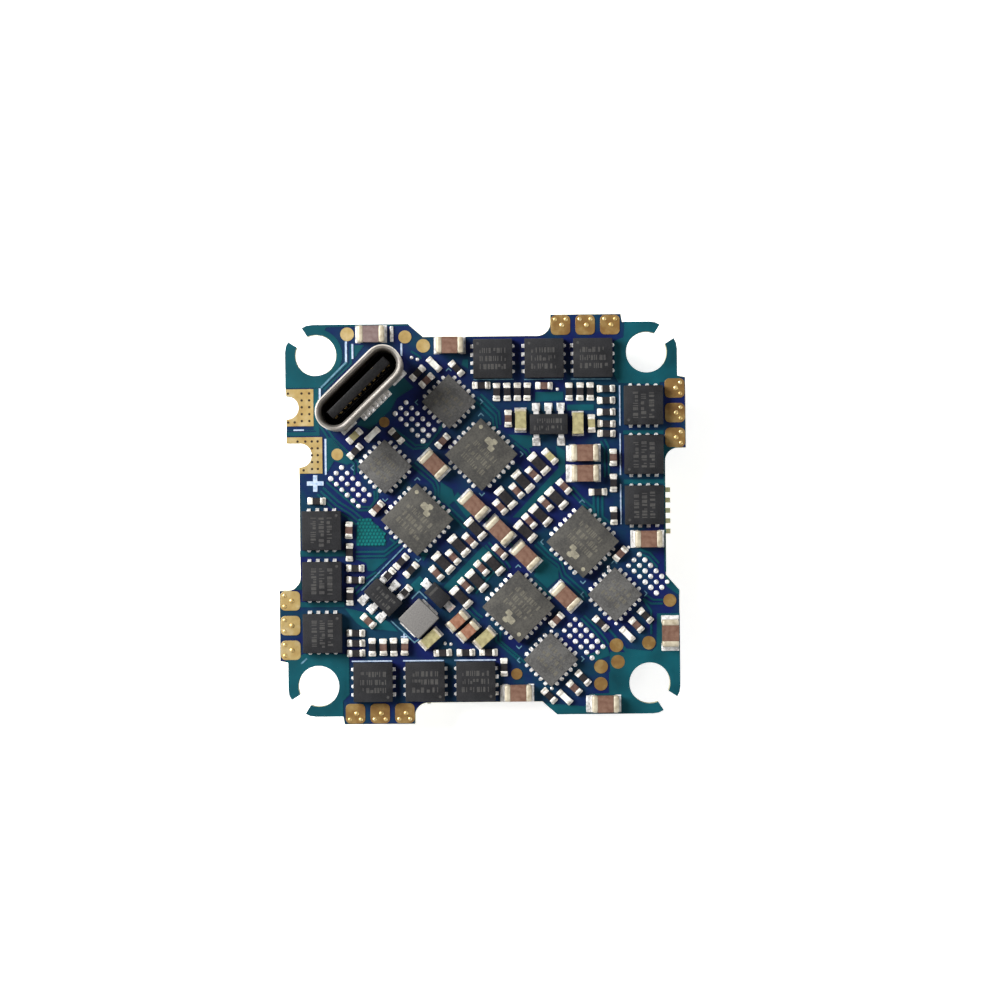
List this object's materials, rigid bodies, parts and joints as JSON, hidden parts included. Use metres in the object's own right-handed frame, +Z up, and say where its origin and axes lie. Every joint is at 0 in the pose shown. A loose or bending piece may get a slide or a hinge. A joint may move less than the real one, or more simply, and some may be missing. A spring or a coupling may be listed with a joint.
{
  "type": "flight controller board",
  "caption": "Small square drone control board with motor drives on top, upright USB socket, open corner holes, gold motor and battery pads, and wire sockets below.",
  "frame": {"origin": "on the surface the board stands on, under the centre of the four mounting holes", "axes": "+Z up out of the component side, +X towards the edge with the side-facing signal socket, +Y towards the edge beside the USB socket"},
  "size_m": [0.0314, 0.0314, 0.0103],
  "materials": {
    "solder_mask": "glossy dark blue solder mask over copper, teal where copper lies under it, bare gold pads",
    "moulded_epoxy": "satin black moulded epoxy with tinned leads",
    "tinned_ceramic": "brown fired ceramic with bright tinned ends",
    "lamp_resin": "clear resin lens over a white chip base",
    "drawn_steel": "nickel-plated drawn sheet",
    "contact_block": "black glass-filled nylon",
    "ferrite": "warm grey pressed iron powder",
    "connector_nylon": "natural heat-resistant nylon, pale yellow-green"
  },
  "bodies": {
    "board": {"circuit_board": "solder_mask", "power_transistor_01": "moulded_epoxy", "power_transistor_02": "moulded_epoxy", "power_transistor_03": "moulded_epoxy", "power_transistor_04": "moulded_epoxy", "power_transistor_05": "moulded_epoxy", "power_transistor_06": "moulded_epoxy", "power_transistor_07": "moulded_epoxy", "power_transistor_08": "moulded_epoxy", "power_transistor_09": "moulded_epoxy", "power_transistor_10": "moulded_epoxy", "power_transistor_11": "moulded_epoxy", "power_transistor_12": "moulded_epoxy", "gate_driver_1": "moulded_epoxy", "gate_driver_2": "moulded_epoxy", "gate_driver_3": "moulded_epoxy", "gate_driver_4": "moulded_epoxy", "motor_processor_1": "moulded_epoxy", "motor_processor_2": "moulded_epoxy", "motor_processor_3": "moulded_epoxy", "motor_processor_4": "moulded_epoxy", "current_sense_amplifier": "moulded_epoxy", "step_down_converter": "moulded_epoxy", "schottky_diode": "moulded_epoxy", "flight_processor": "moulded_epoxy", "log_memory": "moulded_epoxy", "display_overlay_chip": "moulded_epoxy", "motion_sensor": "moulded_epoxy", "bulk_capacitor_01": "tinned_ceramic", "bulk_capacitor_02": "tinned_ceramic", "bulk_capacitor_03": "tinned_ceramic", "bulk_capacitor_04": "tinned_ceramic", "bulk_capacitor_05": "tinned_ceramic", "bulk_capacitor_06": "tinned_ceramic", "bulk_capacitor_07": "tinned_ceramic", "bulk_capacitor_08": "tinned_ceramic", "bulk_capacitor_09": "tinned_ceramic", "bulk_capacitor_10": "tinned_ceramic", "bulk_capacitor_11": "tinned_ceramic", "bulk_capacitor_12": "tinned_ceramic", "bulk_capacitor_13": "tinned_ceramic", "filter_capacitor_1": "tinned_ceramic", "filter_capacitor_2": "tinned_ceramic", "filter_capacitor_3": "tinned_ceramic", "filter_capacitor_4": "tinned_ceramic", "filter_capacitor_5": "tinned_ceramic", "filter_capacitor_6": "tinned_ceramic", "status_lamp_power": "lamp_resin", "status_lamp_ready": "lamp_resin", "usb_shell": "drawn_steel", "usb_tongue": "contact_block", "power_inductor": "ferrite", "crystal": "drawn_steel", "air_pressure_sensor": "drawn_steel", "signal_connector": "connector_nylon", "receiver_connector": "connector_nylon", "camera_connector": "connector_nylon", "boot_switch_body": "moulded_epoxy"},
    "boot_button": {"boot_button": "contact_block"}
  },
  "joints": [
    {"name": "boot_button_press", "type": "slide", "parent": "board", "child": "boot_button", "axis": [0, 0, 1], "range_m": [0, 0.0002], "stiffness_N_per_m": 300}
  ]
}
